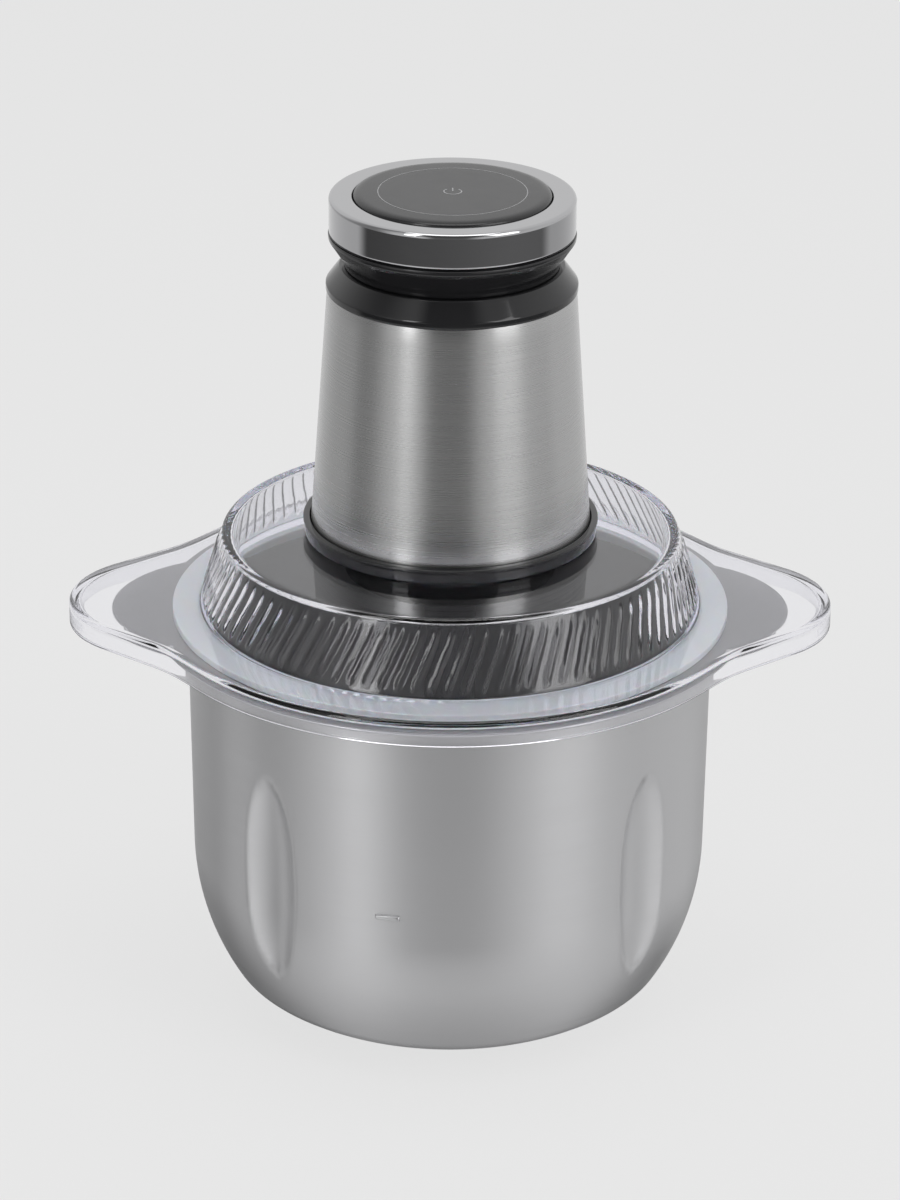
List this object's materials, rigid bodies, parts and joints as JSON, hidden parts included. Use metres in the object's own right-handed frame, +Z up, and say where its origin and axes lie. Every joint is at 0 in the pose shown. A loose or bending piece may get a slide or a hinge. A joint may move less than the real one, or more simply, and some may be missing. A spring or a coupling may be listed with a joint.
{
  "type": "electric food chopper",
  "caption": "Electric food chopper: steel bowl with flutes, clear domed lid with wings, lift-off motor head with a push button, planetary gears and S-shaped blades.",
  "frame": {"origin": "centre of the bowl's flat base, on the surface it stands on", "axes": "+Z up along the bowl and motor axis, front at -Y, the lid's two wings along +X and -X"},
  "size_m": [0.25, 0.197, 0.2795],
  "materials": {
    "brushed_steel": "satin",
    "pin_steel": "polished",
    "blade_steel": "polished",
    "sleeve_steel": "circumferential brushing",
    "chrome": "mirror",
    "black_gloss": "glossy",
    "black_satin": "satin",
    "dark_plastic": "matt",
    "hub_plastic": "satin",
    "clear_plastic": "clear",
    "silicone": "milky",
    "gear_plastic": "satin",
    "brass": "satin",
    "lamination": "matt",
    "copper_wire": "enamelled",
    "carbon": "matt"
  },
  "bodies": {
    "bowl_body": {"bowl": "brushed_steel", "spindle_pin": "pin_steel"},
    "blade_set": {"blade_hub": "hub_plastic", "lower_blade": "blade_steel", "blade_spacer": "hub_plastic", "upper_blade": "blade_steel", "blade_grip": "hub_plastic"},
    "lid_body": {"lid": "clear_plastic", "lid_seal": "silicone"},
    "motor_head": {"base_cover": "black_satin", "ring_gear": "gear_plastic", "output_bushing": "brass", "gearbox_plate": "pin_steel", "lower_bearing": "chrome", "stator_core": "lamination", "field_winding": "copper_wire", "motor_housing": "dark_plastic", "housing_screws": "pin_steel", "brush_holders": "dark_plastic", "carbon_brushes": "carbon", "bearing_bracket": "dark_plastic", "upper_bearing": "chrome", "motor_sleeve": "sleeve_steel", "collar": "black_gloss", "head_shell": "black_gloss", "chrome_ring": "chrome", "button_guide": "dark_plastic", "switch_stage": "pin_steel", "micro_switch": "dark_plastic"},
    "button": {"button_disc": "black_gloss", "button_plunger": "dark_plastic", "button_spring": "pin_steel"},
    "armature": {"armature_shaft": "pin_steel", "sun_pinion": "brass", "cooling_fan": "dark_plastic", "armature_core": "lamination", "armature_winding": "copper_wire", "commutator": "brass"},
    "carrier": {"planet_carrier": "pin_steel", "planet_pins": "pin_steel", "drive_square": "dark_plastic"},
    "planet_1": {"planet_gear_1": "gear_plastic"},
    "planet_2": {"planet_gear_2": "gear_plastic"},
    "planet_3": {"planet_gear_3": "gear_plastic"}
  },
  "joints": [
    {"name": "carrier_spin", "type": "hinge", "parent": "motor_head", "child": "carrier", "pos_m": [0, 0, 0.15], "axis": [0, 0, 1], "continuous": true},
    {"name": "blade_spin", "type": "hinge", "parent": "bowl_body", "child": "blade_set", "pos_m": [0, 0, 0.05], "axis": [0, 0, 1], "continuous": true},
    {"name": "armature_spin", "type": "hinge", "parent": "motor_head", "child": "armature", "pos_m": [0, 0, 0.2], "axis": [0, 0, 1], "continuous": true},
    {"name": "planet_1_spin", "type": "hinge", "parent": "carrier", "child": "planet_1", "pos_m": [0.015, 0, 0.156], "axis": [0, 0, 1], "continuous": true},
    {"name": "planet_2_spin", "type": "hinge", "parent": "carrier", "child": "planet_2", "pos_m": [-0.0075, 0.01299, 0.156], "axis": [0, 0, 1], "continuous": true},
    {"name": "planet_3_spin", "type": "hinge", "parent": "carrier", "child": "planet_3", "pos_m": [-0.0075, -0.01299, 0.156], "axis": [0, 0, 1], "continuous": true},
    {"name": "lid_lift", "type": "slide", "parent": "bowl_body", "child": "lid_body", "axis": [0, 0, 1], "range_m": [0, 0.2]},
    {"name": "head_lift", "type": "slide", "parent": "lid_body", "child": "motor_head", "axis": [0, 0, 1], "range_m": [0, 0.1]},
    {"name": "button_press", "type": "slide", "parent": "motor_head", "child": "button", "axis": [0, 0, 1], "range_m": [-0.003, 0], "stiffness_N_per_m": 400, "springref_m": 0.004, "deforming": ["button_spring"]}
  ],
  "couplings": [
    {"joint": "blade_spin", "follows": "carrier_spin", "ratio": 1},
    {"joint": "armature_spin", "follows": "carrier_spin", "ratio": 5},
    {"joint": "planet_1_spin", "follows": "carrier_spin", "ratio": -2.6667},
    {"joint": "planet_2_spin", "follows": "carrier_spin", "ratio": -2.6667},
    {"joint": "planet_3_spin", "follows": "carrier_spin", "ratio": -2.6667}
  ]
}
